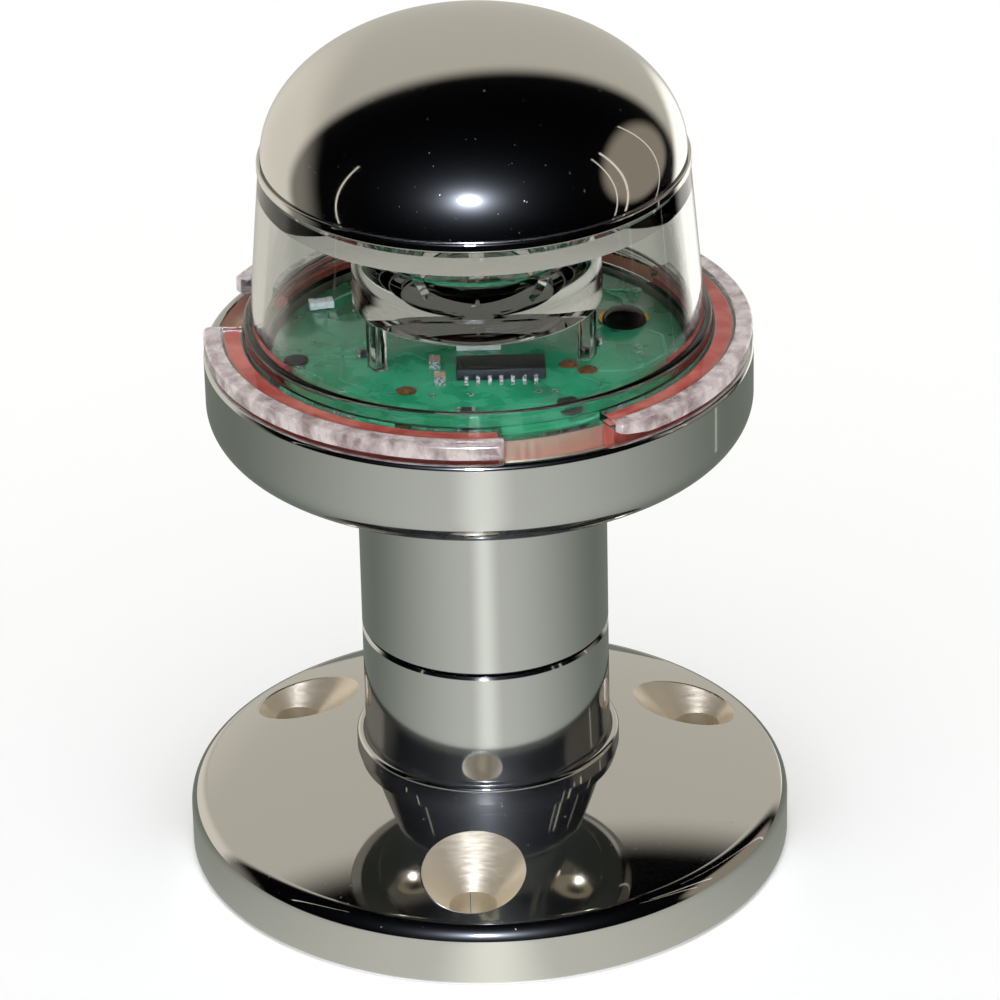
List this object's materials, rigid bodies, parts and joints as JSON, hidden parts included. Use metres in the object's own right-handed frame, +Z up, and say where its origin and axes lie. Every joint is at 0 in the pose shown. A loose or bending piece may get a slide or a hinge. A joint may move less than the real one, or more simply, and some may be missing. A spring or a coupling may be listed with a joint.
{
  "type": "navigation light",
  "caption": "All-round pedestal navigation light: crowned screw-down base, two-part stem, cup with notched clear lens on a red gasket, and a polished dome cap.",
  "frame": {"origin": "centre of the base's underside", "axes": "+Z up the stem, -Y towards the front screw hole"},
  "size_m": [0.07, 0.07, 0.102],
  "materials": {
    "polished_steel": "mirror polished stainless steel",
    "satin_steel": "turned, unpolished",
    "clear_acrylic": "clear, moulded and polished",
    "red_silicone": "matt moulded silicone",
    "black_rubber": "matt",
    "green_board": "green solder resist on glass-fibre laminate",
    "black_nylon": "fine moulded texture",
    "white_nylon": "moulded",
    "chip_black": "moulded epoxy",
    "resin_black": "cured glossy resin",
    "tinned": "tinned copper",
    "gold_pad": "gold plated copper",
    "solder_brown": "solder and flux",
    "capacitor_tan": "sintered ceramic",
    "ceramic_white": "glazed ceramic",
    "led_yellow": "phosphor in clear silicone",
    "red_pvc": "extruded cable insulation",
    "black_pvc": "extruded cable insulation"
  },
  "bodies": {
    "base": {"base_flange": "polished_steel", "socket_tube": "polished_steel", "cable_grommet": "black_rubber"},
    "stem_seal": {"stem_oring": "black_rubber"},
    "head": {"stem_tube": "polished_steel", "head_pan": "polished_steel", "stem_washer": "satin_steel", "stem_ring_nut": "satin_steel", "board_carrier": "black_nylon", "circuit_board": "green_board", "led_emitter": "led_yellow", "light_optic": "clear_acrylic", "driver_chip": "chip_black", "driver_chip_pins": "tinned", "chip_capacitors": "capacitor_tan", "chip_resistors": "chip_black", "surface_fuse": "ceramic_white", "resin_drop": "resin_black", "drop_pad": "gold_pad", "solder_joints": "solder_brown", "lead_red": "red_pvc", "lead_black": "black_pvc", "lead_sleeve": "black_rubber", "terminal_block": "white_nylon", "terminal_screws": "satin_steel"},
    "lens_group": {"lens": "clear_acrylic", "lens_gasket": "red_silicone", "dome_cap": "polished_steel", "cap_seal_ring": "black_rubber"}
  },
  "joints": [
    {"name": "stem_rise", "type": "slide", "parent": "base", "child": "stem_seal", "axis": [0, 0, 1], "range_m": [0, 0.006]},
    {"name": "stem_turn", "type": "hinge", "parent": "stem_seal", "child": "head", "pos_m": [0, 0, 0.028], "axis": [0, 0, 1], "range_deg": [0, 1440]},
    {"name": "lens_twist", "type": "hinge", "parent": "head", "child": "lens_group", "pos_m": [0, 0, 0.064], "axis": [0, 0, 1], "range_deg": [0, 24]}
  ],
  "couplings": [
    {"joint": "stem_rise", "follows": "stem_turn", "m_per_rad": 0.00023873}
  ]
}
